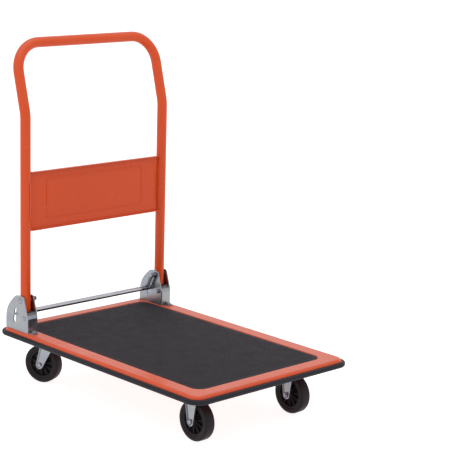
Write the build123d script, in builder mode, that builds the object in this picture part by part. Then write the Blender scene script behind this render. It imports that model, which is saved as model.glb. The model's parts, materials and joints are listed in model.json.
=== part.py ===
from build123d import *

import math
import os

# A folding platform cart, in millimetres. +Z is up, +X points to the rigid front wheels and +Y to
# the left. The origin is on the floor under the middle of the deck, and the handle stands upright.

# Deck
DECK_TOP = 136.5
PAN_HALF_X = 353.5
PAN_HALF_Y = 234.0
PAN_CORNER = 26.0
PAN_DEPTH = 14.0
PAN_SHOULDER = 8.0
PAN_SHEET = 1.5
PAN_FLANGE = 4.0
MAT_X = -3.2
MAT_HALF_X = 316.7
MAT_HALF_Y = 192.0
MAT_CORNER = 24.0
MAT_THICK = 3.0
MAT_GAP = 0.8
MAT_BEVEL = 2.4
BUMPER_HALF_X = 363.0
BUMPER_HALF_Y = 242.0
BUMPER_TOP = DECK_TOP - 6.5
BUMPER_BOTTOM = DECK_TOP - 17.5
BUMPER_FIT = 0.1
BUMPER_ROUND = 4.0
BUMPER_GRIP = 5.0

# Handle
TUBE_RADIUS = 12.5
TUBE_WALL = 1.5
LEG_X = -285.4
LEG_Y = 211.25
PIVOT_Z = 213.0
TAIL_LENGTH = 34.6
BEND_Z = 659.4
BEND_RADIUS = 81.5
BAR_X = -328.9
BAR_Z = 822.1
CORNER_RADIUS = 68.0
PANEL_LOW = 381.5
PANEL_HIGH = 523.5
PANEL_SHEET = 1.5
PANEL_LIP = 9.0
BEAD_HALF_Y = 150.0
BEAD_LOW = 406.0
BEAD_HIGH = 503.5
BEAD_WIDTH = 5.0
BEAD_HEIGHT = 1.2
SADDLE_LOW = 406.5
SADDLE_HIGH = 498.5

# Hinge brackets
BRACKET_SHEET = 2.5
BRACKET_GAP = 26.0
BRACKET_BACK = -343.0
BRACKET_FRONT = -256.5
BRACKET_TOP = DECK_TOP + 88.0
WALL_BEND_Z = DECK_TOP + 35.0
WALL_TOP = DECK_TOP + 43.6
FOOT_LENGTH = 16.0
FOOT_WIDTH = 20.0
FOOT_Y = 214.0
FOOT_BOLT_X = -248.5
REAR_BOLT_X = -326.0
STOP_X = -270.0
STOP_Z = DECK_TOP + 36.0

# Lock rod and its slots
ROD_RADIUS = 6.0
ROD_END_RADIUS = 4.0
ROD_X = -304.2
ROD_Z = DECK_TOP + 40.0
SLOT_WIDTH = 13.0
SLOT_SLANT = 11.5
SLOT_UP = 8.3
SLOT_DOWN = 14.9
SPRING_Y = 186.4
SPRING_RADIUS = 5.0
SPRING_WIRE = 0.7

# Casters
WHEEL_RADIUS = 46.5
TYRE_HALF = 13.7
TYRE_SHOULDER = 6.5
RIM_RADIUS = 34.0
HUB_HALF = 16.2
SLEEVE_RADIUS = 6.0
RUNNING_FIT = 0.05
BODY_GAP = 0.3
CASTER_Y = 150.0
FRONT_X = 265.2
REAR_X = -252.0
TRAIL = 30.0
HEADING_RIGHT = 21.5
HEADING_LEFT = 12.0
PLATE_TOP = 118.0
PLATE_SHEET = 2.5
PLATE_X = 76.0
PLATE_Y = 60.0
PLATE_BOLTS_X = 58.0
PLATE_BOLTS_Y = 42.0
CROWN_TOP = 103.0
CHEEK_INNER = 16.5
CHEEK_SHEET = 2.5
CHEEK_LIP = 2.0
CHEEK_END = 9.5
CHEEK_DROP = 0.8
CHEEK_ROUND = 0.5
RIGID_FORK_HALF_X = 21.0
SWIVEL_FORK_BACK = -26.0
SWIVEL_FORK_FRONT = 12.0
RAIL_HALF_X = 42.0
RAIL_HALF_Y = 190.0
RAIL_SHEET = 2.0
RAIL_FLANGE = 8.0

# Swivel bearing
BALL_RADIUS = 3.0
BALL_PITCH = 17.5
BALL_COUNT = 14
RACE_DEPTH = 2.5
RACE_RADIUS = 23.0
PIN_RADIUS = 5.0
PIN_HEAD = 4.0
CUP_SHEET = 2.5
CUP_RADIUS = 14.0

# Wheel hubs
HUB_RIM = 4.5
HUB_RIM_HALF = 11.5
HUB_WEB_HALF = 2.5
HUB_BOSS = 11.0
RIB_COUNT = 10
RIB_HALF = 9.0
RIB_SHEET = 2.4

# Fasteners: thread radius, width across flats and head height
M8 = (4.0, 13.0, 5.3)
M6 = (3.0, 10.0, 4.0)
M8_NUT = 6.5
M6_NUT = 5.0
PIVOT_NUT = 4.0
STUB_END = 183.0
THREAD_SPARE = 1.5
HOLE_FIT = 0.1

# Worked out from the above
RAIL_TOP = DECK_TOP - MAT_THICK - PAN_SHEET
PAN_BOTTOM = DECK_TOP - PAN_DEPTH
AXLE_Z = WHEEL_RADIUS
BRACKET_INNER = LEG_Y - BRACKET_GAP / 2 - BRACKET_SHEET
BRACKET_OUTER = LEG_Y + BRACKET_GAP / 2 + BRACKET_SHEET
CHEEK_OUTER = CHEEK_INNER + CHEEK_SHEET
BALL_Z = PLATE_TOP - PLATE_SHEET - RACE_DEPTH - BALL_RADIUS - RUNNING_FIT
CUP_TOP = CROWN_TOP - PLATE_SHEET - BODY_GAP
SLIDE_X = math.sin(math.radians(SLOT_SLANT))
SLIDE_Z = math.cos(math.radians(SLOT_SLANT))

OUTWARD_LEFT = (-90, 0, 0)
OUTWARD_RIGHT = (90, 0, 0)

os.makedirs("parts", exist_ok=True)


def keep(part, name):
    """Labels a finished piece and writes it under its own name."""
    part.label = name
    export_step(part, "parts/" + name + ".step")


def hex_bolt(size, length):
    """A hex bolt: its head stands on z = 0 and its shank hangs below."""
    radius, flats, head = size
    with BuildPart() as bolt:
        with BuildSketch():
            RegularPolygon(flats / 2, 6, major_radius=False)
        extrude(amount=head)
        chamfer(bolt.faces().sort_by(Axis.Z)[-1].edges(), length=0.7)
        with BuildSketch():
            Circle(radius)
        extrude(amount=-length)
        chamfer(bolt.faces().sort_by(Axis.Z)[0].edges(), length=0.6)
    return bolt.part


def dome_bolt(radius, head_radius, head, length):
    """A bolt with a domed head on z = 0 and its shank below."""
    dome = (head_radius**2 + head**2) / (2 * head)
    with BuildPart() as bolt:
        with BuildSketch(Plane.XZ):
            with BuildLine():
                Polyline((0, head), (0, -length), (radius, -length), (radius, 0), (head_radius, 0))
                RadiusArc((0, head), (head_radius, 0), radius=dome)
            make_face()
        revolve(axis=Axis.Z)
    return bolt.part


def hex_nut(size, height):
    """A hex nut that hangs below z = 0."""
    radius, flats, _ = size
    with BuildPart() as nut:
        with BuildSketch():
            RegularPolygon(flats / 2, 6, major_radius=False)
            Circle(radius + HOLE_FIT / 2, mode=Mode.SUBTRACT)
        extrude(amount=-height)
        chamfer(nut.faces().sort_by(Axis.Z)[0].outer_wire().edges(), length=0.6)
    return nut.part


def group(part, places):
    """Copies of one fastener at several places, as separate solids."""
    with BuildPart() as copies:
        with Locations(*places):
            add(part)
    return copies.part


def deck_outline(grow, mode=Mode.ADD):
    """The pan's outline, grown by a margin all round."""
    RectangleRounded(2 * (PAN_HALF_X + grow), 2 * (PAN_HALF_Y + grow), PAN_CORNER + grow, mode=mode)


# Deck pan: pressed sheet with a rolled rim, a recess for the mat and a flange for the bumper
with BuildPart() as deck_pan:
    with BuildSketch(Plane.XY.offset(PAN_BOTTOM)):
        deck_outline(0)
    extrude(amount=PAN_DEPTH)
    fillet(deck_pan.faces().sort_by(Axis.Z)[-1].edges(), radius=PAN_SHOULDER)
    with BuildSketch(Plane.XY.offset(DECK_TOP)):
        with Locations((MAT_X, 0)):
            RectangleRounded(2 * (MAT_HALF_X + MAT_GAP), 2 * (MAT_HALF_Y + MAT_GAP), MAT_CORNER + MAT_GAP)
    extrude(amount=-MAT_THICK, mode=Mode.SUBTRACT)
    chamfer(deck_pan.faces().sort_by(Axis.Z)[-1].inner_wires()[0].edges(), length=MAT_BEVEL)
    offset(amount=-PAN_SHEET, openings=deck_pan.faces().sort_by(Axis.Z)[0])
    with BuildSketch(Plane.XY.offset(PAN_BOTTOM)):
        deck_outline(PAN_FLANGE)
        deck_outline(-PAN_SHEET / 2, mode=Mode.SUBTRACT)
    extrude(amount=PAN_SHEET)
    with Locations(
        (FOOT_BOLT_X, FOOT_Y, DECK_TOP),
        (FOOT_BOLT_X, -FOOT_Y, DECK_TOP),
        (REAR_BOLT_X, LEG_Y, DECK_TOP),
        (REAR_BOLT_X, -LEG_Y, DECK_TOP),
    ):
        Hole(M6[0] + HOLE_FIT, depth=PAN_DEPTH)
keep(deck_pan.part, "deck_pan")

with BuildPart() as deck_mat:
    with BuildSketch(Plane.XY.offset(DECK_TOP - MAT_THICK)):
        with Locations((MAT_X, 0)):
            RectangleRounded(2 * MAT_HALF_X, 2 * MAT_HALF_Y, MAT_CORNER)
    extrude(amount=MAT_THICK)
    fillet(deck_mat.faces().sort_by(Axis.Z)[-1].edges(), radius=0.8)
keep(deck_mat.part, "deck_mat")

# Edge bumper: a rubber profile that grips the pan's flange all the way round
with BuildPart() as edge_bumper:
    corner = PAN_CORNER + BUMPER_HALF_X - PAN_HALF_X
    with BuildSketch(Plane.XY.offset(BUMPER_BOTTOM)):
        RectangleRounded(2 * BUMPER_HALF_X, 2 * BUMPER_HALF_Y, corner)
    extrude(amount=BUMPER_TOP - BUMPER_BOTTOM)
    outer_rims = edge_bumper.faces().filter_by(Axis.Z).edges()
    fillet(outer_rims, radius=BUMPER_ROUND)
    with BuildSketch(Plane.XY.offset(PAN_BOTTOM - BUMPER_FIT)):
        deck_outline(BUMPER_FIT)
    extrude(amount=PAN_DEPTH, mode=Mode.SUBTRACT)
    with BuildSketch(Plane.XY.offset(PAN_BOTTOM - BUMPER_FIT)):
        deck_outline(PAN_FLANGE + BUMPER_FIT)
    extrude(amount=PAN_SHEET + 2 * BUMPER_FIT, mode=Mode.SUBTRACT)
    with BuildSketch(Plane.XY.offset(BUMPER_BOTTOM)):
        deck_outline(-BUMPER_GRIP)
    extrude(amount=PAN_DEPTH, mode=Mode.SUBTRACT)
keep(edge_bumper.part, "edge_bumper")


# Cross rails: pressed hat channels under the pan that carry the casters
def cross_rail(centre_x):
    half_y = RAIL_HALF_Y
    with BuildPart() as rail:
        with BuildSketch(Plane.XZ.offset(-half_y)):
            with Locations((centre_x, (PLATE_TOP + RAIL_TOP) / 2)):
                Rectangle(2 * RAIL_HALF_X, RAIL_TOP - PLATE_TOP)
            with Locations((centre_x, RAIL_TOP - RAIL_SHEET / 2)):
                Rectangle(2 * (RAIL_HALF_X + RAIL_FLANGE), RAIL_SHEET)
            with Locations((centre_x, (PLATE_TOP + RAIL_TOP) / 2 + RAIL_SHEET)):
                Rectangle(2 * (RAIL_HALF_X - RAIL_SHEET), RAIL_TOP - PLATE_TOP, mode=Mode.SUBTRACT)
        extrude(amount=2 * half_y)
        fillet(rail.edges().filter_by(Axis.Y).group_by(Axis.Z)[0], radius=2.5)
        for side in (-1, 1):
            with Locations((centre_x, side * CASTER_Y, PLATE_TOP + RAIL_SHEET)):
                with GridLocations(PLATE_BOLTS_X, PLATE_BOLTS_Y, 2, 2):
                    Hole(M8[0] + HOLE_FIT, depth=2 * RAIL_SHEET)
    return rail.part


keep(cross_rail(FRONT_X), "cross_rail_front")
keep(cross_rail(REAR_X), "cross_rail_rear")


# Hinge brackets: a bent channel with a plate each side of the leg, a floor, a front wall and a foot
with BuildPart() as hinge_bracket_left:
    with BuildSketch(Plane.XZ.offset(-BRACKET_INNER)):
        with BuildLine():
            Line((BRACKET_FRONT, DECK_TOP), (BRACKET_BACK, DECK_TOP))
            Line((BRACKET_BACK, DECK_TOP), (BRACKET_BACK, DECK_TOP + 20))
            Spline(
                (BRACKET_BACK, DECK_TOP + 20),
                (-332.4, DECK_TOP + 58),
                (-311, DECK_TOP + 80.5),
                (-290, BRACKET_TOP),
                tangents=[(0, 1), (1, 0)],
            )
            Line((-290, BRACKET_TOP), (-279.5, BRACKET_TOP))
            TangentArc((-279.5, BRACKET_TOP), (-271.6, DECK_TOP + 82), tangent=(1, 0))
            Line((-271.6, DECK_TOP + 82), (BRACKET_FRONT, WALL_BEND_Z))
            Line((BRACKET_FRONT, WALL_BEND_Z), (BRACKET_FRONT, DECK_TOP))
        make_face()
    extrude(amount=-(BRACKET_OUTER - BRACKET_INNER))
    front_edges = hinge_bracket_left.edges().filter_by(Axis.Z).sort_by(Axis.X)[-2:]
    fillet(front_edges, radius=3.0)
    with BuildSketch(Plane.XZ.offset(-BRACKET_INNER - BRACKET_SHEET)):
        with BuildLine():
            Polyline(
                (BRACKET_BACK - 10, DECK_TOP + BRACKET_SHEET),
                (BRACKET_FRONT - BRACKET_SHEET, DECK_TOP + BRACKET_SHEET),
                (BRACKET_FRONT - BRACKET_SHEET, WALL_BEND_Z),
                (BRACKET_FRONT - BRACKET_SHEET - 3, WALL_TOP),
                (BRACKET_FRONT + 10, WALL_TOP),
                (BRACKET_FRONT + 10, BRACKET_TOP + 10),
                (BRACKET_BACK - 10, BRACKET_TOP + 10),
                close=True,
            )
        make_face()
    extrude(amount=-BRACKET_GAP, mode=Mode.SUBTRACT)
    with BuildSketch(Plane.XY.offset(DECK_TOP)):
        with Locations((BRACKET_FRONT - 4 + (FOOT_LENGTH + 4) / 2, FOOT_Y)):
            RectangleRounded(FOOT_LENGTH + 4, FOOT_WIDTH, 6)
    extrude(amount=BRACKET_SHEET)
    slot_x = ROD_X + SLIDE_X * (SLOT_UP - SLOT_DOWN) / 2
    slot_z = ROD_Z + SLIDE_Z * (SLOT_UP - SLOT_DOWN) / 2
    with BuildSketch(Plane.XZ.offset(-BRACKET_INNER + 1)):
        with Locations((slot_x, slot_z)):
            SlotCenterToCenter(SLOT_UP + SLOT_DOWN, SLOT_WIDTH, rotation=90 - SLOT_SLANT)
        with Locations((LEG_X, PIVOT_Z)):
            Circle(M8[0] + HOLE_FIT)
        with Locations((STOP_X, STOP_Z)):
            Circle(M6[0] + HOLE_FIT)
    extrude(amount=-(BRACKET_OUTER - BRACKET_INNER + 2), mode=Mode.SUBTRACT)
    with BuildSketch(Plane.XZ.offset(-BRACKET_OUTER - 1)):
        with Locations((LEG_X - 8.5, PIVOT_Z - 1)):
            Circle(1.6)
    extrude(amount=BRACKET_SHEET + 2, mode=Mode.SUBTRACT)
    foot_top = DECK_TOP + BRACKET_SHEET
    with Locations((FOOT_BOLT_X, FOOT_Y, foot_top), (REAR_BOLT_X, LEG_Y, foot_top)):
        Hole(M6[0] + HOLE_FIT, depth=2 * BRACKET_SHEET)
keep(hinge_bracket_left.part, "hinge_bracket_left")

with BuildPart() as hinge_bracket_right:
    mirror(hinge_bracket_left.part, about=Plane.XZ)
keep(hinge_bracket_right.part, "hinge_bracket_right")

# Fasteners of the brackets
foot_spots = []
for side in (-1, 1):
    foot_spots.append((FOOT_BOLT_X, side * FOOT_Y))
    foot_spots.append((REAR_BOLT_X, side * LEG_Y))
foot_grip = BRACKET_SHEET + PAN_SHEET
bracket_bolt = hex_bolt(M6, foot_grip + M6_NUT + THREAD_SPARE)
bolt_spots = [(x, y, DECK_TOP + BRACKET_SHEET) for x, y in foot_spots]
keep(group(bracket_bolt, bolt_spots), "bracket_bolts")
bracket_nut = hex_nut(M6, M6_NUT)
keep(group(bracket_nut, [(x, y, DECK_TOP - PAN_SHEET) for x, y in foot_spots]), "bracket_nuts")

both_plates = BRACKET_OUTER - BRACKET_INNER
stop_bolt = dome_bolt(M6[0], 5.6, 3.2, both_plates + M6_NUT + 1)
stop_spots = [
    Location((STOP_X, BRACKET_OUTER, STOP_Z), OUTWARD_LEFT),
    Location((STOP_X, -BRACKET_OUTER, STOP_Z), OUTWARD_RIGHT),
]
keep(group(stop_bolt, stop_spots), "stop_bolts")
nut_spots = [
    Location((STOP_X, BRACKET_INNER, STOP_Z), OUTWARD_LEFT),
    Location((STOP_X, -BRACKET_INNER, STOP_Z), OUTWARD_RIGHT),
]
keep(group(hex_nut(M6, M6_NUT), nut_spots), "stop_nuts")

# Pivot bolts: a domed head outside, a stub with a collar inside that the spring hooks on
with BuildPart() as pivot_bolt:
    add(dome_bolt(M8[0], 7.5, 4.2, BRACKET_OUTER - STUB_END))
    with BuildSketch(Plane.XY.offset(-(BRACKET_OUTER - STUB_END))):
        Circle(M8[0] + 0.7)
    extrude(amount=-1.4)
left_bolt_spot = Location((LEG_X, BRACKET_OUTER, PIVOT_Z), OUTWARD_LEFT)
right_bolt_spot = Location((LEG_X, -BRACKET_OUTER, PIVOT_Z), OUTWARD_RIGHT)
keep(group(pivot_bolt.part, [left_bolt_spot]), "pivot_bolt_left")
keep(group(pivot_bolt.part, [right_bolt_spot]), "pivot_bolt_right")
pivot_nut_spots = [
    Location((LEG_X, BRACKET_INNER, PIVOT_Z), OUTWARD_LEFT),
    Location((LEG_X, -BRACKET_INNER, PIVOT_Z), OUTWARD_RIGHT),
]
keep(group(hex_nut(M8, PIVOT_NUT), pivot_nut_spots), "pivot_nuts")

# Lock rod: lies behind both legs, its turned-down ends ride in the outer slots
with BuildPart() as lock_rod:
    rod_half = BRACKET_OUTER - BRACKET_SHEET - 0.6
    with BuildSketch(Plane.XZ.offset(-rod_half)):
        with Locations((ROD_X, ROD_Z)):
            Circle(ROD_RADIUS)
    extrude(amount=2 * rod_half)
    chamfer(lock_rod.edges().filter_by(GeomType.CIRCLE), length=0.8)
    with BuildSketch(Plane.XZ.offset(-BRACKET_OUTER)):
        with Locations((ROD_X, ROD_Z)):
            Circle(ROD_END_RADIUS)
    extrude(amount=2 * BRACKET_OUTER)
    for side, outward in ((1, OUTWARD_LEFT), (-1, OUTWARD_RIGHT)):
        with Locations(Location((ROD_X, side * BRACKET_OUTER, ROD_Z), outward)):
            Hole(2.2, depth=8)
keep(lock_rod.part, "lock_rod")


# Extension springs: from each pivot bolt's stub down to the rod, kept here as plain closed bodies
def extension_spring(side):
    across = math.hypot(ROD_X - LEG_X, ROD_Z - PIVOT_Z)
    direction = Vector(ROD_X - LEG_X, 0, ROD_Z - PIVOT_Z)
    stub_loop = M8[0] + BODY_GAP + SPRING_WIRE
    rod_loop = ROD_RADIUS + BODY_GAP + SPRING_WIRE
    body_plane = Plane(origin=(LEG_X, side * SPRING_Y, PIVOT_Z), x_dir=(0, 1, 0), z_dir=direction)
    with BuildPart() as spring:
        with BuildSketch(body_plane.offset(stub_loop)):
            Circle(SPRING_RADIUS)
        extrude(amount=across - stub_loop - rod_loop)
        with Locations((LEG_X, side * SPRING_Y, PIVOT_Z)):
            Torus(stub_loop, SPRING_WIRE, rotation=(90, 0, 0))
        with Locations((ROD_X, side * SPRING_Y, ROD_Z)):
            Torus(rod_loop, SPRING_WIRE, rotation=(90, 0, 0))
    return spring.part


keep(extension_spring(1), "spring_left")
keep(extension_spring(-1), "spring_right")

# Handle: one tube bent into a hoop that leans back above the bend
tube_end_z = PIVOT_Z - TAIL_LENGTH + TUBE_RADIUS
with BuildPart() as handle_tube:
    with BuildLine() as hoop:
        FilletPolyline(
            (LEG_X, -LEG_Y, tube_end_z),
            (LEG_X, -LEG_Y, BEND_Z),
            (BAR_X, -LEG_Y, BAR_Z),
            (BAR_X, LEG_Y, BAR_Z),
            (LEG_X, LEG_Y, BEND_Z),
            (LEG_X, LEG_Y, tube_end_z),
            radius=[BEND_RADIUS, CORNER_RADIUS, CORNER_RADIUS, BEND_RADIUS],
        )
    with BuildSketch(Plane((LEG_X, -LEG_Y, tube_end_z), z_dir=(0, 0, 1))):
        Circle(TUBE_RADIUS)
        Circle(TUBE_RADIUS - TUBE_WALL, mode=Mode.SUBTRACT)
    sweep(path=hoop.line)
    with Locations(Location((LEG_X, 0, PIVOT_Z), (90, 0, 0))):
        Cylinder(SLEEVE_RADIUS, 2 * (LEG_Y + 2 * TUBE_RADIUS), mode=Mode.SUBTRACT)
keep(handle_tube.part, "handle_tube")

# Domed caps that close the tails below the pivots, each with a spigot up the bore
with BuildPart() as tail_cap:
    with BuildSketch(Plane.XZ):
        with BuildLine():
            CenterArc((0, 0), TUBE_RADIUS, -90, 90)
            spigot = TUBE_RADIUS - TUBE_WALL - HOLE_FIT
            Polyline((TUBE_RADIUS, 0), (spigot, 0), (spigot, 10), (0, 10), (0, -TUBE_RADIUS))
        make_face()
    revolve(axis=Axis.Z)
keep(group(tail_cap.part, [(LEG_X, LEG_Y, tube_end_z), (LEG_X, -LEG_Y, tube_end_z)]), "tail_caps")

# Pivot sleeves welded across the legs, which turn on the pivot bolts
with BuildPart() as pivot_sleeve:
    with BuildSketch():
        Circle(SLEEVE_RADIUS)
        Circle(M8[0] + RUNNING_FIT, mode=Mode.SUBTRACT)
    extrude(amount=BRACKET_GAP / 2 - BODY_GAP, both=True)
sleeve_spots = [
    Location((LEG_X, LEG_Y, PIVOT_Z), OUTWARD_LEFT),
    Location((LEG_X, -LEG_Y, PIVOT_Z), OUTWARD_RIGHT),
]
keep(group(pivot_sleeve.part, sleeve_spots), "pivot_sleeves")

# Handle panel: a pressed sheet between the legs, lipped top and bottom, with a raised bead and
# with saddles that wrap the inner front of each leg
panel_half_y = LEG_Y - TUBE_RADIUS - HOLE_FIT
panel_mid_z = (PANEL_LOW + PANEL_HIGH) / 2
bead_mid_z = (BEAD_LOW + BEAD_HIGH) / 2
with BuildPart() as handle_panel:
    with Locations((LEG_X, 0, panel_mid_z)):
        Box(PANEL_SHEET, 2 * panel_half_y, PANEL_HIGH - PANEL_LOW)
    with BuildSketch(Plane.YZ.offset(LEG_X)):
        with Locations((0, bead_mid_z)):
            RectangleRounded(2 * BEAD_HALF_Y, BEAD_HIGH - BEAD_LOW, 8)
            inner_y = 2 * (BEAD_HALF_Y - BEAD_WIDTH)
            inner_z = BEAD_HIGH - BEAD_LOW - 2 * BEAD_WIDTH
            RectangleRounded(inner_y, inner_z, 4, mode=Mode.SUBTRACT)
    extrude(amount=PANEL_SHEET / 2 + BEAD_HEIGHT)
    fillet(handle_panel.faces().sort_by(Axis.X)[-1].edges(), radius=1.0)
    for lip_z in (PANEL_LOW + PANEL_SHEET / 2, PANEL_HIGH - PANEL_SHEET / 2):
        with Locations((LEG_X + (PANEL_LIP + PANEL_SHEET) / 2, 0, lip_z)):
            Box(PANEL_LIP, 2 * panel_half_y, PANEL_SHEET)
    outer_folds = [(PANEL_LOW, 2.8), (PANEL_HIGH, 2.8)]
    inner_folds = [(PANEL_LOW + PANEL_SHEET, 1.3), (PANEL_HIGH - PANEL_SHEET, 1.3)]
    for fold_z, fold_radius in outer_folds + inner_folds:
        along = handle_panel.edges().filter_by(Axis.Y)
        at_fold = along.filter_by_position(Axis.Z, fold_z - 0.01, fold_z + 0.01)
        fillet(at_fold.sort_by(Axis.X)[0], radius=fold_radius)
    saddle_inner = TUBE_RADIUS + HOLE_FIT / 2
    for side in (-1, 1):
        with BuildSketch(Plane.XY.offset(SADDLE_LOW)):
            with Locations((LEG_X, side * LEG_Y)):
                Circle(saddle_inner + PANEL_SHEET)
                Circle(saddle_inner, mode=Mode.SUBTRACT)
                wedge = [(0, 0), (-4, -side * 40), (30, -side * 40), (40, -side * 10)]
                Polygon(*wedge, align=None, mode=Mode.INTERSECT)
        extrude(amount=SADDLE_HIGH - SADDLE_LOW)
keep(handle_panel.part, "handle_panel")


# Casters
def fork_cheeks(axle_x, back_x, front_x, top_z):
    """Both cheeks of a fork: each tapers to a round end at the axle and has a lip round its edge."""
    middle_x = (back_x + front_x) / 2
    with BuildPart() as cheeks:
        with BuildSketch(Plane.XZ.offset(-CHEEK_INNER)):
            with Locations((axle_x, AXLE_Z - CHEEK_DROP)):
                Circle(CHEEK_END)
            with Locations((middle_x, top_z - 0.5)):
                Rectangle(front_x - back_x, 1)
            make_hull()
        extrude(amount=-(CHEEK_SHEET + CHEEK_LIP))
        fillet(cheeks.faces().sort_by(Axis.Y)[-1].edges(), radius=CHEEK_ROUND)
        with BuildSketch(Plane.XZ.offset(-CHEEK_OUTER)):
            with Locations((axle_x, AXLE_Z - CHEEK_DROP)):
                Circle(CHEEK_END - CHEEK_LIP)
            with Locations((middle_x, top_z - 4)):
                Rectangle(front_x - back_x - 2.4 * CHEEK_LIP, 1)
            make_hull()
        extrude(amount=-2 * CHEEK_LIP, mode=Mode.SUBTRACT)
        mirror(about=Plane.XZ)
        with Locations(Location((axle_x, 0, AXLE_Z), (90, 0, 0))):
            Cylinder(M6[0] + HOLE_FIT, 4 * CHEEK_OUTER, mode=Mode.SUBTRACT)
    return cheeks.part


# Rigid fork: a bolted plate with a crown and cheeks welded below it, about its own centre
with BuildPart() as rigid_fork:
    with BuildSketch(Plane.XY.offset(PLATE_TOP)):
        RectangleRounded(PLATE_X, PLATE_Y, 8)
        with GridLocations(PLATE_BOLTS_X, PLATE_BOLTS_Y, 2, 2):
            Circle(M8[0] + HOLE_FIT, mode=Mode.SUBTRACT)
    extrude(amount=-PLATE_SHEET)
    crown_top = PLATE_TOP - PLATE_SHEET
    with BuildSketch(Plane.XY.offset(crown_top)):
        Rectangle(2 * RIGID_FORK_HALF_X, 2 * CHEEK_INNER + 1)
    extrude(amount=-PLATE_SHEET)
    add(fork_cheeks(0, -RIGID_FORK_HALF_X, RIGID_FORK_HALF_X, crown_top))
for side, side_name in ((1, "left"), (-1, "right")):
    keep(group(rigid_fork.part, [(FRONT_X, side * CASTER_Y, 0)]), "rigid_fork_" + side_name)

# Swivel plate: a bolted plate with the upper race pressed below it
with BuildPart() as swivel_plate:
    with BuildSketch(Plane.XY.offset(PLATE_TOP)):
        RectangleRounded(PLATE_X, PLATE_Y, 8)
        Circle(PIN_RADIUS + HOLE_FIT / 2, mode=Mode.SUBTRACT)
        with GridLocations(PLATE_BOLTS_X, PLATE_BOLTS_Y, 2, 2):
            Circle(M8[0] + HOLE_FIT, mode=Mode.SUBTRACT)
    extrude(amount=-PLATE_SHEET)
    with BuildSketch(Plane.XY.offset(PLATE_TOP - PLATE_SHEET)):
        Circle(RACE_RADIUS)
        Circle(PIN_RADIUS + HOLE_FIT / 2, mode=Mode.SUBTRACT)
    extrude(amount=-RACE_DEPTH)

with BuildPart() as swivel_balls:
    with Locations((0, 0, BALL_Z)):
        with PolarLocations(BALL_PITCH, BALL_COUNT):
            Sphere(BALL_RADIUS)

# King pin: hangs from the plate and holds the cup under the fork's crown
with BuildPart() as king_pin:
    with BuildSketch(Plane.XY.offset(PLATE_TOP)):
        Circle(PIN_RADIUS)
    extrude(amount=-(PLATE_TOP - CUP_TOP + CUP_SHEET))
    with BuildSketch(Plane.XY.offset(CUP_TOP - CUP_SHEET)):
        RegularPolygon(8.5, 6, major_radius=False)
    extrude(amount=-PIN_HEAD)
    chamfer(king_pin.faces().sort_by(Axis.Z)[0].edges(), length=0.8)

with BuildPart() as bearing_cup:
    with BuildSketch(Plane.XY.offset(CUP_TOP)):
        Circle(CUP_RADIUS)
        Circle(PIN_RADIUS + HOLE_FIT / 2, mode=Mode.SUBTRACT)
    extrude(amount=-CUP_SHEET)
    fillet(bearing_cup.faces().sort_by(Axis.Z)[0].outer_wire().edges(), radius=1.2)

# Swivel fork: a crown with the lower race on top and cheeks that lean back to the axle
with BuildPart() as swivel_fork:
    with BuildSketch(Plane.XY.offset(CROWN_TOP)):
        Circle(BALL_PITCH + 6.5)
        with Locations(((SWIVEL_FORK_BACK + SWIVEL_FORK_FRONT) / 2, 0)):
            Rectangle(SWIVEL_FORK_FRONT - SWIVEL_FORK_BACK, 2 * CHEEK_INNER + 1)
    extrude(amount=-PLATE_SHEET)
    add(fork_cheeks(-TRAIL, SWIVEL_FORK_BACK, SWIVEL_FORK_FRONT, CROWN_TOP))
    with BuildSketch(Plane.XY.offset(CROWN_TOP)):
        Circle(BALL_PITCH + 5)
    extrude(amount=BALL_Z - CROWN_TOP - 0.8)
    with BuildSketch(Plane.XZ):
        with Locations((BALL_PITCH, BALL_Z)):
            Circle(BALL_RADIUS + BODY_GAP)
    revolve(axis=Axis.Z, mode=Mode.SUBTRACT)
    with BuildSketch(Plane.XY.offset(PLATE_TOP)):
        Circle(PIN_RADIUS + RUNNING_FIT)
    extrude(amount=-2 * (PLATE_TOP - CROWN_TOP), mode=Mode.SUBTRACT)

swivels = {
    "left": Location((REAR_X, CASTER_Y, 0), (0, 0, HEADING_LEFT)),
    "right": Location((REAR_X, -CASTER_Y, 0), (0, 0, HEADING_RIGHT)),
}
for side_name, turned in swivels.items():
    straight = Location(turned.position)
    keep(group(swivel_plate.part, [straight]), "swivel_plate_" + side_name)
    keep(group(swivel_balls.part, [straight]), "swivel_balls_" + side_name)
    keep(group(king_pin.part, [straight]), "king_pin_" + side_name)
    keep(group(bearing_cup.part, [straight]), "bearing_cup_" + side_name)
    keep(group(swivel_fork.part, [turned]), "swivel_fork_" + side_name)

# Caster bolts and nuts
with BuildPart() as plate_bolts:
    with GridLocations(PLATE_BOLTS_X, PLATE_BOLTS_Y, 2, 2):
        add(hex_bolt(M8, RAIL_SHEET + PLATE_SHEET + M8_NUT + THREAD_SPARE))
with BuildPart() as plate_nuts:
    with GridLocations(PLATE_BOLTS_X, PLATE_BOLTS_Y, 2, 2):
        add(hex_nut(M8, M8_NUT))
caster_spots = [(x, side * CASTER_Y) for x in (FRONT_X, REAR_X) for side in (-1, 1)]
head_spots = [(x, y, PLATE_TOP + RAIL_SHEET) for x, y in caster_spots]
keep(group(plate_bolts.part, head_spots), "caster_bolts")
below_spots = [(x, y, PLATE_TOP - PLATE_SHEET) for x, y in caster_spots]
keep(group(plate_nuts.part, below_spots), "caster_nuts")

# Wheel: a tyre pressed on a ribbed hub, about its own axle along Y
with BuildPart() as tyre:
    with BuildSketch(Plane.YZ) as tread:
        with Locations((0, (WHEEL_RADIUS + RIM_RADIUS) / 2)):
            Rectangle(2 * TYRE_HALF, WHEEL_RADIUS - RIM_RADIUS)
        fillet(tread.vertices().sort_by(Axis.Y)[-2:], radius=TYRE_SHOULDER)
        fillet(tread.vertices().sort_by(Axis.Y)[:2], radius=1.0)
    revolve(axis=Axis.Y)

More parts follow.
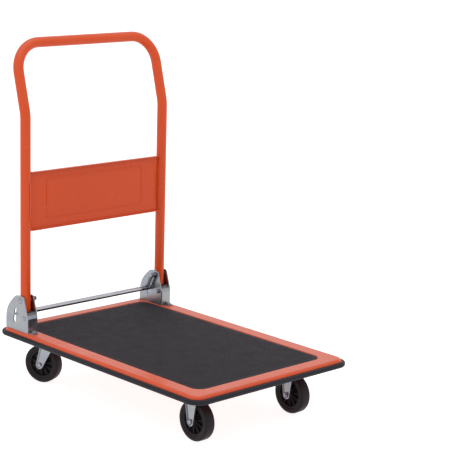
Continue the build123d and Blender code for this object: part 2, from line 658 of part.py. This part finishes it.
with BuildPart() as hub:
    with BuildSketch(Plane.YZ):
        with Locations((0, RIM_RADIUS - HUB_RIM / 2)):
            Rectangle(2 * HUB_RIM_HALF, HUB_RIM)
        with Locations((0, RIM_RADIUS / 2)):
            Rectangle(2 * HUB_WEB_HALF, RIM_RADIUS - HUB_RIM)
        with Locations((0, HUB_BOSS / 2)):
            Rectangle(2 * HUB_HALF, HUB_BOSS)
    revolve(axis=Axis.Y)
    rib_length = RIM_RADIUS - HUB_RIM - HUB_BOSS + 2
    with BuildSketch(Plane.XZ):
        with PolarLocations(HUB_BOSS - 1 + rib_length / 2, RIB_COUNT):
            Rectangle(rib_length, RIB_SHEET)
    extrude(amount=RIB_HALF, both=True)
    with Locations(Location((0, 0, 0), (90, 0, 0))):
        Cylinder(SLEEVE_RADIUS + RUNNING_FIT, 4 * HUB_HALF, mode=Mode.SUBTRACT)

# Axle sleeve: clamped between the cheeks, and the hub turns on it
with BuildPart() as axle_sleeve:
    with BuildSketch(Plane.XZ):
        Circle(SLEEVE_RADIUS)
        Circle(M6[0] + HOLE_FIT / 2, mode=Mode.SUBTRACT)
    extrude(amount=CHEEK_INNER, both=True)

# Each wheel turns about Y in its own fork, whose middle line stands at the given place
wheel_places = {
    "front_left": Location((FRONT_X, CASTER_Y, AXLE_Z)),
    "front_right": Location((FRONT_X, -CASTER_Y, AXLE_Z)),
    "rear_left": swivels["left"] * Location((-TRAIL, 0, AXLE_Z)),
    "rear_right": swivels["right"] * Location((-TRAIL, 0, AXLE_Z)),
}
axle_bolt = hex_bolt(M6, 2 * CHEEK_OUTER + M6_NUT + THREAD_SPARE)
axle_nut = hex_nut(M6, M6_NUT)
for wheel_name, place in wheel_places.items():
    keep(group(tyre.part, [place]), "tyre_" + wheel_name)
    keep(group(hub.part, [place]), "hub_" + wheel_name)
    keep(group(axle_sleeve.part, [place]), "axle_sleeve_" + wheel_name)
    outward = 1 if wheel_name.endswith("left") else -1
    head_turn = OUTWARD_LEFT if outward > 0 else OUTWARD_RIGHT
    head_place = place * Location((0, outward * CHEEK_OUTER, 0), head_turn)
    nut_place = place * Location((0, -outward * CHEEK_OUTER, 0), head_turn)
    keep(group(axle_bolt, [head_place]), "axle_bolt_" + wheel_name)
    keep(group(axle_nut, [nut_place]), "axle_nut_" + wheel_name)
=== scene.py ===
import json
import math

import bmesh
import bpy
from mathutils import Matrix, Vector


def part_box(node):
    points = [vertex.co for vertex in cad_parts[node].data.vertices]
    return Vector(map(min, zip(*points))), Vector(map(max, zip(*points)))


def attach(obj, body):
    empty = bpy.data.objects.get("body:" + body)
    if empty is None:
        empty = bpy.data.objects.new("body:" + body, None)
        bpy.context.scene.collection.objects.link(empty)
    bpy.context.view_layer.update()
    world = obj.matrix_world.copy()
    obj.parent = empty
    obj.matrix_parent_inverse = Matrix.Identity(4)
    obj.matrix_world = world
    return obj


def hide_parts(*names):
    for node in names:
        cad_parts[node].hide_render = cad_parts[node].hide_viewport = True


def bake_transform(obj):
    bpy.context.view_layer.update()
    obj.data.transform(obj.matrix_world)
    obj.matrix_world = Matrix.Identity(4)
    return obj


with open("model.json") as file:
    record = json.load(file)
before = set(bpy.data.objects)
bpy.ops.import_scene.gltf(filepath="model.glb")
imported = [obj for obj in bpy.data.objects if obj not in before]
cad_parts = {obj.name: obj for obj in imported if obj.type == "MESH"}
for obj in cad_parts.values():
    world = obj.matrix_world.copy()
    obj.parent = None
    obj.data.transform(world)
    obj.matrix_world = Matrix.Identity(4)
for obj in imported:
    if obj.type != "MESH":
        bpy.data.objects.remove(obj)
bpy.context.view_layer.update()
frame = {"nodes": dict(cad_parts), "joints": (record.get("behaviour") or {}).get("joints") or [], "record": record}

NODES = frame["nodes"]
JOINTS = {joint["name"]: joint for joint in frame["joints"]}
MM = 0.001
SIDES = ("left", "right")
WHEELS = [end + "_" + side for end in ("front", "rear") for side in SIDES]


def add_object(name, data):
    """A new object in the scene that shows the given mesh, light or camera."""
    made = bpy.data.objects.new(name, data)
    bpy.context.scene.collection.objects.link(made)
    return made


def as_mesh(shape, name):
    """Empties a bmesh into a new mesh."""
    mesh = bpy.data.meshes.new(name)
    shape.to_mesh(mesh)
    shape.free()
    return mesh


# ---------------------------------------------------------------- camera, light and floor

IMAGE_WIDTH = 470
FOCAL_PIXELS = 1595.4
SENSOR = 36.0
EYE = Vector((2.7255, -2.4110, 1.2183))
AZIMUTH = math.radians(46.18)
PITCH = math.radians(12.68)
ROLL = math.radians(1.66)

SOFTBOXES = {
    "overhead": {
        "place": (0.1, -0.2, 2.6), "aim": (0, 0, 0.2), "size": 2.4, "watts": 14, "colour": (1.0, 0.985, 0.96),
    },
    "left_side": {
        "place": (0.4, -2.8, 1.9), "aim": (0, 0, 0.4), "size": 1.6, "watts": 5, "colour": (1.0, 0.99, 0.97),
    },
}
WHITE = (1.0, 1.0, 1.0, 1)
FLOOR_REACH = 12
FLOOR_GREY = (0.42, 0.42, 0.42, 1)
FLOOR_ROUGHNESS = 0.85
FLOOR_SPECULAR = 0.1
FLOOR_GLOW = 0.86


def add_camera():
    """A camera at EYE that looks along the azimuth and pitch, with a slight roll."""
    data = bpy.data.cameras.new("camera")
    data.sensor_width = SENSOR
    data.lens = FOCAL_PIXELS / IMAGE_WIDTH * SENSOR
    camera = add_object("camera", data)
    back = Vector((
        math.sin(AZIMUTH) * math.cos(PITCH),
        -math.cos(AZIMUTH) * math.cos(PITCH),
        math.sin(PITCH),
    ))
    right = Vector((0, 0, 1)).cross(back).normalized()
    up = back.cross(right)
    across = right * math.cos(ROLL) + up * math.sin(ROLL)
    upright = up * math.cos(ROLL) - right * math.sin(ROLL)
    camera.matrix_world = Matrix.Translation(EYE) @ Matrix((across, upright, back)).transposed().to_4x4()
    bpy.context.scene.camera = camera


def add_softbox(name, place, aim, size, watts, colour):
    """A square area light at a place, turned to face its aim."""
    data = bpy.data.lights.new(name, "AREA")
    data.shape = "RECTANGLE"
    data.size = size
    data.size_y = size
    data.energy = watts
    data.color = colour
    lamp = add_object(name, data)
    lamp.location = place
    lamp.rotation_euler = (Vector(aim) - Vector(place)).to_track_quat("-Z", "Y").to_euler()


def add_floor():
    """A wide pale floor that glows a little, so that it keeps close to the white surround."""
    shape = bmesh.new()
    bmesh.ops.create_grid(shape, x_segments=1, y_segments=1, size=FLOOR_REACH)
    floor = add_object("floor", as_mesh(shape, "floor"))
    paint = bpy.data.materials.new("floor_white")
    paint.use_nodes = True
    shader = paint.node_tree.nodes["Principled BSDF"]
    shader.inputs["Base Color"].default_value = FLOOR_GREY
    shader.inputs["Roughness"].default_value = FLOOR_ROUGHNESS
    shader.inputs["Specular IOR Level"].default_value = FLOOR_SPECULAR
    shader.inputs["Emission Color"].default_value = WHITE
    shader.inputs["Emission Strength"].default_value = FLOOR_GLOW
    floor.data.materials.append(paint)


def add_studio():
    """A white surround, the softboxes, the floor and a plain view of the colours."""
    world = bpy.data.worlds.new("studio")
    world.use_nodes = True
    surround = world.node_tree.nodes["Background"]
    surround.inputs["Color"].default_value = WHITE
    surround.inputs["Strength"].default_value = 1.0
    bpy.context.scene.world = world
    for name, values in SOFTBOXES.items():
        add_softbox(name, **values)
    add_floor()
    view = bpy.context.scene.view_settings
    view.view_transform = "Standard"
    view.look = "None"


# ---------------------------------------------------------------- shader groups

NOISE_ROUGHNESS = 0.55
GRAIN_DETAIL = 2.0
BLOTCH_DETAIL = 4.0
DUST_SCALE = 22.0
DUST_DETAIL = 5.0
MASK_LOW = 0.3
MASK_HIGH = 0.7

# The places of a Mix node's colour sockets.
MIX_FACTOR = 0
MIX_FIRST = 6
MIX_SECOND = 7
MIX_RESULT = 2


def new_group(name, inputs, outputs):
    """A shader node group with number inputs {name: value} and named number outputs."""
    tree = bpy.data.node_groups.new(name, "ShaderNodeTree")
    for label, value in inputs.items():
        socket = tree.interface.new_socket(name=label, in_out="INPUT", socket_type="NodeSocketFloat")
        socket.default_value = value
    for label in outputs:
        tree.interface.new_socket(name=label, in_out="OUTPUT", socket_type="NodeSocketFloat")
    return tree, tree.nodes.new("NodeGroupInput"), tree.nodes.new("NodeGroupOutput")


def set_inputs(node, values):
    """Sets a node's sockets from {name: value}, where an underscore stands for a space."""
    for label, value in values.items():
        node.inputs[label.replace("_", " ")].default_value = value


def feed(tree, socket, value):
    """Links a socket to another one, or sets it to a plain value."""
    if isinstance(value, bpy.types.NodeSocket):
        tree.links.new(value, socket)
    else:
        socket.default_value = value


def add_node(tree, kind, **values):
    """A node with some of its sockets set."""
    made = tree.nodes.new(kind)
    set_inputs(made, values)
    return made


def add_group(tree, group, **values):
    """A shader group placed in a material, with its own values."""
    made = tree.nodes.new("ShaderNodeGroup")
    made.node_tree = group
    set_inputs(made, values)
    return made


def maths(tree, operation, first, second):
    """A Math node whose two inputs are sockets or numbers."""
    made = tree.nodes.new("ShaderNodeMath")
    made.operation = operation
    feed(tree, made.inputs[0], first)
    feed(tree, made.inputs[1], second)
    return made.outputs[0]


def object_noise(tree, scale, detail):
    """Noise on Object coordinates; scale is a number or a socket."""
    place = add_node(tree, "ShaderNodeTexCoord")
    noise = add_node(tree, "ShaderNodeTexNoise", Detail=detail, Roughness=NOISE_ROUGHNESS)
    tree.links.new(place.outputs["Object"], noise.inputs["Vector"])
    feed(tree, noise.inputs["Scale"], scale)
    return noise.outputs["Fac"]


def mix_colours(tree, factor, first, second):
    """A colour mix; factor, first and second are sockets or values."""
    made = tree.nodes.new("ShaderNodeMix")
    made.data_type = "RGBA"
    feed(tree, made.inputs[MIX_FACTOR], factor)
    feed(tree, made.inputs[MIX_FIRST], first)
    feed(tree, made.inputs[MIX_SECOND], second)
    return made.outputs[MIX_RESULT]


def spread(tree, mask, low, high):
    """Maps the range that a noise mask mostly fills onto low to high."""
    made = add_node(
        tree, "ShaderNodeMapRange", From_Min=MASK_LOW, From_Max=MASK_HIGH, To_Min=low, To_Max=high
    )
    tree.links.new(mask, made.inputs["Value"])
    return made.outputs["Result"]


def make_grain_group():
    """A fine grain height for bump, and a blotchy mask that varies roughness and colour a little."""
    tree, source, result = new_group(
        "surface_grain", {"Grain Scale": 900.0, "Blotch Scale": 14.0}, ("Height", "Blotch")
    )
    fine = object_noise(tree, source.outputs["Grain Scale"], GRAIN_DETAIL)
    tree.links.new(fine, result.inputs["Height"])
    blotch = object_noise(tree, source.outputs["Blotch Scale"], BLOTCH_DETAIL)
    tree.links.new(blotch, result.inputs["Blotch"])
    return tree


def make_dust_and_sheen_group():
    """A mask that lightens faces that look up, broken up by noise: a light dusting together with a painted sheen
    of light from above.
    """
    tree, source, result = new_group("dust_and_top_sheen", {"Amount": 0.2}, ("Mask",))
    geometry = add_node(tree, "ShaderNodeNewGeometry")
    split = add_node(tree, "ShaderNodeSeparateXYZ")
    tree.links.new(geometry.outputs["Normal"], split.inputs[0])
    # only faces that look up get it: a light dusting together with a painted sheen of light from above
    upward = maths(tree, "MAXIMUM", split.outputs["Z"], 0.0)
    patches = maths(tree, "MULTIPLY", object_noise(tree, DUST_SCALE, DUST_DETAIL), upward)
    tree.links.new(maths(tree, "MULTIPLY", patches, source.outputs["Amount"]), result.inputs["Mask"])
    return tree


GRAIN = make_grain_group()
DUST_AND_SHEEN = make_dust_and_sheen_group()


# ---------------------------------------------------------------- materials

COAT_DEEP = (0.520, 0.052, 0.006, 1)
COAT_BRIGHT = (0.560, 0.060, 0.008, 1)
# pale colour and amount mixed onto the coat's faces that look up: a light dusting together with a painted salmon
# sheen of light from above
COAT_DUST_AND_SHEEN = (0.72, 0.55, 0.47, 1)
COAT_DUST_AND_SHEEN_AMOUNT = 0.10
COAT_ROUGHNESS = (0.20, 0.30)
COAT_SHINE = 0.26
# grey mixed onto rubber faces that look up: a light dusting together with a painted sheen of light from above
RUBBER_DUST_AND_SHEEN = (0.35, 0.34, 0.34, 1)
STREAK_STRETCH = (60.0, 900.0, 900.0)

ZINCS = {
    "zinc_plate": {
        "base": (0.25, 0.275, 0.33, 1), "tint": (0.33, 0.335, 0.33, 1),
        "roughness": (0.24, 0.36), "streaks": 0.12,
    },
    "zinc_fastener": {
        "base": (0.24, 0.25, 0.31, 1), "tint": (0.32, 0.31, 0.35, 1),
        "roughness": (0.26, 0.40), "streaks": 0.08,
    },
    "bright_zinc": {
        "base": (0.52, 0.52, 0.55, 1), "tint": (0.44, 0.44, 0.49, 1),
        "roughness": (0.12, 0.20), "streaks": 0.04,
    },
    "spring_steel": {
        "base": (0.20, 0.21, 0.26, 1), "tint": (0.28, 0.29, 0.33, 1),
        "roughness": (0.28, 0.40), "streaks": 0.08,
    },
    "ball_steel": {
        "base": (0.60, 0.60, 0.62, 1), "tint": (0.55, 0.56, 0.60, 1),
        "roughness": (0.10, 0.16), "streaks": 0.02,
    },
}
RUBBERS = {
    "mat_rubber": {
        "base": (0.020, 0.017, 0.022, 1), "worn": (0.026, 0.023, 0.028, 1),
        "roughness": (0.65, 0.80), "dust_and_sheen_amount": 0.03, "peel": 0.2, "shine": 0.15,
    },
    "bumper_rubber": {
        "base": (0.008, 0.009, 0.014, 1), "worn": (0.012, 0.014, 0.020, 1),
        "roughness": (0.42, 0.54), "dust_and_sheen_amount": 0.02, "peel": 0.2, "shine": 0.16,
    },
    "tyre_rubber": {
        "base": (0.009, 0.006, 0.009, 1), "worn": (0.014, 0.010, 0.013, 1),
        "roughness": (0.42, 0.55), "dust_and_sheen_amount": 0.02, "peel": 0.2, "shine": 0.16,
    },
    "hub_plastic": {
        "base": (0.008, 0.006, 0.008, 1), "worn": (0.012, 0.010, 0.012, 1),
        "roughness": (0.45, 0.58), "dust_and_sheen_amount": 0.03, "peel": 0.2, "shine": 0.20,
    },
}


def start_material(name):
    """A new material with its node tree and its shader."""
    made = bpy.data.materials.new(name)
    made.use_nodes = True
    tree = made.node_tree
    return made, tree, tree.nodes["Principled BSDF"]


def add_bump(tree, shader, height, strength, distance):
    """Raises the surface's look by a height mask, over a distance in metres."""
    bump = add_node(tree, "ShaderNodeBump", Strength=strength, Distance=distance)
    tree.links.new(height, bump.inputs["Height"])
    tree.links.new(bump.outputs["Normal"], shader.inputs["Normal"])


def make_powder_coat():
    """Orange powder coat: slightly uneven colour, orange-peel surface, satin gloss, and faces that look up
    lightened by a light dusting together with a painted sheen.
    """
    made, tree, shader = start_material("powder_coat")
    grain = add_group(tree, GRAIN, Grain_Scale=420.0, Blotch_Scale=9.0)
    tint = mix_colours(tree, grain.outputs["Blotch"], COAT_DEEP, COAT_BRIGHT)
    dust_and_sheen = add_group(tree, DUST_AND_SHEEN, Amount=COAT_DUST_AND_SHEEN_AMOUNT)
    # lightens faces that look up towards a pale colour: a light dusting together with a painted sheen
    colour = mix_colours(tree, dust_and_sheen.outputs["Mask"], tint, COAT_DUST_AND_SHEEN)
    tree.links.new(colour, shader.inputs["Base Color"])
    tree.links.new(spread(tree, grain.outputs["Blotch"], *COAT_ROUGHNESS), shader.inputs["Roughness"])
    shader.inputs["Specular IOR Level"].default_value = COAT_SHINE
    add_bump(tree, shader, grain.outputs["Height"], strength=0.14, distance=0.0006)
    return made


def make_zinc(name, base, tint, roughness, streaks):
    """Bare or zinc-plated steel: soft tints, streaks drawn out along X and uneven polish."""
    made, tree, shader = start_material(name)
    grain = add_group(tree, GRAIN, Blotch_Scale=38.0)
    place = add_node(tree, "ShaderNodeTexCoord")
    stretch = add_node(tree, "ShaderNodeMapping", Scale=STREAK_STRETCH)
    tree.links.new(place.outputs["Object"], stretch.inputs["Vector"])
    streak = add_node(tree, "ShaderNodeTexNoise", Scale=1.0, Detail=2.0)
    tree.links.new(stretch.outputs["Vector"], streak.inputs["Vector"])
    colour = mix_colours(tree, spread(tree, grain.outputs["Blotch"], 0.0, 1.0), base, tint)
    tree.links.new(colour, shader.inputs["Base Color"])
    tree.links.new(spread(tree, grain.outputs["Blotch"], *roughness), shader.inputs["Roughness"])
    shader.inputs["Metallic"].default_value = 1.0
    add_bump(tree, shader, streak.outputs["Fac"], strength=streaks, distance=0.0002)
    return made


def make_rubber(name, base, worn, roughness, dust_and_sheen_amount, peel, shine):
    """Rubber or plastic: dark, softly mottled, with a fine moulded grain, and faces that look up lightened by a
    light dusting together with a painted sheen.
    """
    made, tree, shader = start_material(name)
    grain = add_group(tree, GRAIN, Grain_Scale=1100.0, Blotch_Scale=30.0)
    mottled = mix_colours(tree, grain.outputs["Blotch"], base, worn)
    dust_and_sheen = add_group(tree, DUST_AND_SHEEN, Amount=dust_and_sheen_amount)
    # lightens faces that look up towards grey: a light dusting together with a painted sheen
    colour = mix_colours(tree, dust_and_sheen.outputs["Mask"], mottled, RUBBER_DUST_AND_SHEEN)
    tree.links.new(colour, shader.inputs["Base Color"])
    tree.links.new(spread(tree, grain.outputs["Blotch"], *roughness), shader.inputs["Roughness"])
    shader.inputs["Specular IOR Level"].default_value = shine
    add_bump(tree, shader, grain.outputs["Height"], strength=peel, distance=0.0004)
    return made


MATERIALS = {"powder_coat": make_powder_coat()}
for finish_name, values in ZINCS.items():
    MATERIALS[finish_name] = make_zinc(finish_name, **values)
for finish_name, values in RUBBERS.items():
    MATERIALS[finish_name] = make_rubber(finish_name, **values)


def dress_cad_nodes():
    """Gives every CAD node the finish of its own slot."""
    for part in frame["record"]["subparts"]:
        finish = MATERIALS[part["material_slot"]]
        for holder in NODES[part["node"]].material_slots:
            holder.material = finish


# ---------------------------------------------------------------- pieces

SMOOTH_BELOW = math.radians(35.0)
CORNER_STEPS = 4


def make_piece(name, body, slot_name, stands_for, shape):
    """A finished piece, shown instead of the CAD nodes it stands for; it rides on a body if given one."""
    bmesh.ops.recalc_face_normals(shape, faces=shape.faces)
    for face in shape.faces:
        face.smooth = True
    for edge in shape.edges:
        edge.smooth = len(edge.link_faces) == 2 and edge.calc_face_angle(0.0) < SMOOTH_BELOW
    mesh = as_mesh(shape, name)
    mesh.materials.append(MATERIALS[slot_name])
    piece = add_object(name, mesh)
    if body:
        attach(piece, body)
    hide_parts(*stands_for)
    return piece


def standing_edges(shape):
    """The edges of a box that run from its bottom to its top."""
    return [edge for edge in shape.edges if abs(edge.verts[0].co.z - edge.verts[1].co.z) > MM]


def round_edges(shape, edges, radius, steps):
    """Rounds edges off with a bevel of the given radius."""
    bmesh.ops.bevel(
        shape, geom=edges, offset=radius, offset_type="OFFSET", affect="EDGES", segments=steps,
        profile=0.5, material=-1,
    )


def lathe(shape, outline, steps):
    """Spins a closed outline of (y, radius, rounding) corners, in mm, round the Y axis of an empty bmesh."""
    corners = [shape.verts.new((0, y * MM, radius * MM)) for y, radius, _ in outline]
    shape.faces.new(corners)
    for corner, (_, _, rounding) in zip(corners, outline):
        if rounding:
            bmesh.ops.bevel(
                shape, geom=[corner], offset=rounding * MM, offset_type="OFFSET", affect="VERTICES",
                segments=CORNER_STEPS, profile=0.5, material=-1,
            )
    bmesh.ops.delete(shape, geom=list(shape.faces), context="FACES_ONLY")
    bmesh.ops.spin(
        shape, geom=list(shape.edges), cent=(0, 0, 0), axis=(0, 1, 0), dvec=(0, 0, 0), angle=math.tau,
        steps=steps, use_merge=True, use_duplicate=False,
    )


# ---------------------------------------------------------------- wheels

TYRE_OUTLINE = [
    (-11.5, 34.0, 0.6), (-13.0, 35.6, 0.5), (-13.0, 38.4, 0.5), (-13.7, 39.2, 0.4), (-13.7, 42.4, 2.2),
    (-10.8, 46.2, 1.6), (0.0, 46.5, 0), (10.8, 46.2, 1.6), (13.7, 42.4, 2.2), (13.7, 39.2, 0.4),
    (13.0, 38.4, 0.5), (13.0, 35.6, 0.5), (11.5, 34.0, 0.6),
]
TYRE_STEPS = 96
HUB_OUTLINE = [
    (-16.2, 6.1, 0), (-16.2, 9.6, 0.5), (-15.2, 10.6, 0.4), (-2.4, 11.4, 1.2), (-2.0, 29.0, 1.2),
    (-10.6, 30.2, 0.4), (-10.9, 31.8, 0.3), (-11.4, 32.4, 0.3), (-11.4, 34.0, 0), (11.4, 34.0, 0),
    (11.4, 32.4, 0.3), (10.9, 31.8, 0.3), (10.6, 30.2, 0.4), (2.0, 29.0, 1.2), (2.4, 11.4, 1.2),
    (15.2, 10.6, 0.4), (16.2, 9.6, 0.5), (16.2, 6.1, 0),
]
HUB_STEPS = 72
RIBS = 10
RIB_FROM = 10.4
RIB_TO = 30.6
RIB_THICK = 2.2
RIB_TALL = 20.0
RIB_TAPER = (0.8, 0.9, 1)
RIB_ROUNDING = 0.5
RIB_ROUND_STEPS = 3


def rib_mesh():
    """One radial rib of a hub, tapered towards the rim, with rounded edges."""
    rib = bmesh.new()
    made = bmesh.ops.create_cube(rib, size=1)["verts"]
    bmesh.ops.scale(rib, verts=made, vec=(RIB_THICK * MM, RIB_TALL * MM, (RIB_TO - RIB_FROM) * MM))
    bmesh.ops.translate(rib, verts=made, vec=(0, 0, (RIB_TO + RIB_FROM) / 2 * MM))
    outer = [vert for vert in made if vert.co.z > RIB_TO * MM - MM]
    bmesh.ops.scale(rib, verts=outer, vec=RIB_TAPER)
    round_edges(rib, standing_edges(rib), RIB_ROUNDING * MM, RIB_ROUND_STEPS)
    return as_mesh(rib, "rib")


def wheel_turn(name):
    """The matrix that puts a piece modelled about the origin, turning on Y, at a wheel's axle."""
    joint = JOINTS["spin_" + name]
    turn = Vector((0, 1, 0)).rotation_difference(Vector(joint["axis"])).to_matrix().to_4x4()
    return Matrix.Translation(Vector(joint["pos_m"])) @ turn


def add_tyre(name):
    """A tyre with rounded shoulders and a raised ring on each sidewall."""
    tyre = bmesh.new()
    lathe(tyre, TYRE_OUTLINE, TYRE_STEPS)
    bmesh.ops.transform(tyre, matrix=wheel_turn(name), verts=tyre.verts)
    make_piece("tyre_look_" + name, "wheel_" + name, "tyre_rubber", ["tyre_" + name], tyre)


def add_hub(name):
    """A hub with a web, a rim and radial ribs, all in one piece."""
    hub = bmesh.new()
    rib = rib_mesh()
    for index in range(RIBS):
        before = len(hub.verts)
        hub.from_mesh(rib)
        hub.verts.ensure_lookup_table()
        turned = Matrix.Rotation(math.tau * index / RIBS, 4, "Y")
        bmesh.ops.transform(hub, matrix=turned, verts=hub.verts[before:])
    bpy.data.meshes.remove(rib)
    spun = bmesh.new()
    lathe(spun, HUB_OUTLINE, HUB_STEPS)
    spun_mesh = as_mesh(spun, "hub_body")
    hub.from_mesh(spun_mesh)
    bpy.data.meshes.remove(spun_mesh)
    bmesh.ops.transform(hub, matrix=wheel_turn(name), verts=hub.verts)
    make_piece("hub_look_" + name, "wheel_" + name, "hub_plastic", ["hub_" + name], hub)


# ---------------------------------------------------------------- springs

WIRE = 0.7 * MM
COIL = 4.3 * MM
BEND = 1.3 * MM
UPPER_LOOP = 5.0 * MM
LOWER_LOOP = 7.0 * MM
LOOP_GAP = 0.5 * MM
LOOP_TURN = math.radians(250)
COIL_PITCH = 1.52 * MM
STEPS_PER_TURN = 20
BEND_STEPS = 5
LOOP_STEPS = 30
WIRE_CORNERS = 10


def sweep(shape, edges, centre, axis, angle, steps, rise=(0, 0, 0)):
    """Spins edges round an axis, with a rise per step for a helix, and returns the last edges."""
    made = bmesh.ops.spin(
        shape, geom=edges, cent=centre, axis=axis, dvec=rise, angle=angle, steps=steps, use_duplicate=False
    )
    return [item for item in made["geom_last"] if isinstance(item, bmesh.types.BMEdge)]


def push(shape, edges, offset):
    """Extrudes a wire's section by an offset and returns its edges there."""
    made = bmesh.ops.extrude_edge_only(shape, edges=edges)["geom"]
    moved = {item for item in made if isinstance(item, bmesh.types.BMVert)}
    bmesh.ops.translate(shape, verts=list(moved), vec=offset)
    return [item for item in made if isinstance(item, bmesh.types.BMEdge) and moved.issuperset(item.verts)]


def add_hook(shape, edges, coil_end, loop_radius, sign):
    """Bends the wire from a coil's end into a loop above it (sign 1) or below it (sign -1)."""
    reach = loop_radius + LOOP_GAP
    straight = math.sqrt(COIL ** 2 + reach ** 2 - loop_radius ** 2)
    lean = math.atan2(reach, COIL) - math.atan2(straight, loop_radius)
    onward = Vector((0, sign, 0))
    upward = Vector((math.sin(lean), 0, sign * math.cos(lean)))
    bend_centre = coil_end + upward * BEND
    edges = sweep(shape, edges, bend_centre, onward.cross(upward), math.pi / 2, BEND_STEPS)
    edges = push(shape, edges, upward * (straight - BEND))
    loop_centre = Vector((0, sign * BEND, coil_end.z + sign * reach))
    edges = sweep(shape, edges, loop_centre, Vector((0, -sign, 0)), LOOP_TURN, LOOP_STEPS)
    bmesh.ops.contextual_create(shape, geom=edges)


def add_spring(side):
    """A close-coiled spring with a loop round the pivot stub and a loop round the lock rod."""
    spring_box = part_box("spring_" + side)
    middle = (spring_box[0][1] + spring_box[1][1]) / 2
    pivot = Vector(JOINTS["handle_fold"]["pos_m"])
    pivot.y = middle
    rod_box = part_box("lock_rod")
    rod = Vector(((rod_box[0][0] + rod_box[1][0]) / 2, middle, (rod_box[0][2] + rod_box[1][2]) / 2))
    upper_reach = UPPER_LOOP + LOOP_GAP
    lower_reach = LOWER_LOOP + LOOP_GAP
    length = (pivot - rod).length - upper_reach - lower_reach
    turns = int(length / COIL_PITCH)
    shape = bmesh.new()
    bmesh.ops.create_circle(shape, cap_ends=False, radius=WIRE, segments=WIRE_CORNERS)
    bmesh.ops.rotate(shape, verts=shape.verts, cent=(0, 0, 0), matrix=Matrix.Rotation(math.pi / 2, 3, "X"))
    bmesh.ops.translate(shape, verts=shape.verts, vec=(COIL, 0, lower_reach))
    first = list(shape.edges)
    steps = turns * STEPS_PER_TURN
    last = sweep(shape, first, (0, 0, 0), (0, 0, 1), math.tau * turns, steps, (0, 0, length / steps))
    add_hook(shape, last, Vector((COIL, 0, lower_reach + length)), UPPER_LOOP, 1)
    add_hook(shape, first, Vector((COIL, 0, lower_reach)), LOWER_LOOP, -1)
    along = (pivot - rod).normalized()
    lean = Matrix((Vector((0, 1, 0)).cross(along), Vector((0, 1, 0)), along)).transposed().to_4x4()
    bmesh.ops.transform(shape, matrix=Matrix.Translation(rod) @ lean, verts=shape.verts)
    piece = make_piece("spring_look_" + side, None, "spring_steel", ["spring_" + side], shape)
    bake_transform(piece)


# ---------------------------------------------------------------- mat

STUD_PITCH = 5.2 * MM
STUD_HIGH = 0.5 * MM
STUD_WIDE = 1.5 * MM
STUD_SIDES = 4
STUD_TAPER = 0.45
STUD_MARGIN = 8.0 * MM
ROW_GAP = STUD_PITCH / 2
CORNER_DRAW_IN = 0.8        # how much further in a row stops, per length that it is past a corner's start
MAT_CORNER = 24.0 * MM
MAT_CORNER_STEPS = 12
MAT_RIM = 0.9 * MM
MAT_RIM_STEPS = 3
SAME_HEIGHT = 1e-6


def add_stud_row(shape, start, count):
    """A row of four-sided studs along X: the first one at start, then count copies."""
    row = bmesh.new()
    bmesh.ops.create_cone(
        row, cap_ends=False, segments=STUD_SIDES, radius1=STUD_WIDE, radius2=STUD_WIDE * STUD_TAPER,
        depth=STUD_HIGH,
    )
    upper = [edge for edge in row.edges if all(vert.co.z > 0 for vert in edge.verts)]
    bmesh.ops.contextual_create(row, geom=upper)
    bmesh.ops.translate(row, verts=row.verts, vec=start + Vector((0, 0, STUD_HIGH / 2)))
    stud = list(row.verts) + list(row.edges) + list(row.faces)
    bmesh.ops.spin(
        row, geom=stud, cent=(0, 0, 0), axis=(0, 0, 1), dvec=(STUD_PITCH, 0, 0), angle=0, steps=count,
        use_duplicate=True,
    )
    row_mesh = as_mesh(row, "stud_row")
    shape.from_mesh(row_mesh)
    bpy.data.meshes.remove(row_mesh)


def add_mat():
    """The rubber mat: a rounded slab with a plain border and rows of fine studs, set out staggered."""
    low, high = (Vector(corner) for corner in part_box("deck_mat"))
    middle = (low + high) / 2
    half = (high - low) / 2
    shape = bmesh.new()
    bmesh.ops.create_cube(shape, size=1)
    bmesh.ops.scale(shape, verts=shape.verts, vec=(half.x * 2, half.y * 2, half.z * 2 - STUD_HIGH))
    round_edges(shape, standing_edges(shape), MAT_CORNER, MAT_CORNER_STEPS)
    top = max(vert.co.z for vert in shape.verts)
    rim = [edge for edge in shape.edges if all(abs(vert.co.z - top) < SAME_HEIGHT for vert in edge.verts)]
    round_edges(shape, rim, MAT_RIM, MAT_RIM_STEPS)
    rows = int((half.y - STUD_MARGIN) * 2 / ROW_GAP)
    for row in range(rows + 1):
        place_y = (row - rows / 2) * ROW_GAP
        past_corner = max(0.0, abs(place_y) - (half.y - MAT_CORNER))
        reach = half.x - STUD_MARGIN - past_corner * CORNER_DRAW_IN
        count = 2 * int(reach / STUD_PITCH) - row % 2
        add_stud_row(shape, Vector((-count * STUD_PITCH / 2, place_y, top)), count)
    bmesh.ops.translate(shape, verts=shape.verts, vec=(middle.x, middle.y, middle.z - STUD_HIGH / 2))
    make_piece("mat_look", "chassis", "mat_rubber", ["deck_mat"], shape)


add_camera()
add_studio()
dress_cad_nodes()
for wheel in WHEELS:
    add_tyre(wheel)
    add_hub(wheel)
for side in SIDES:
    add_spring(side)
add_mat()
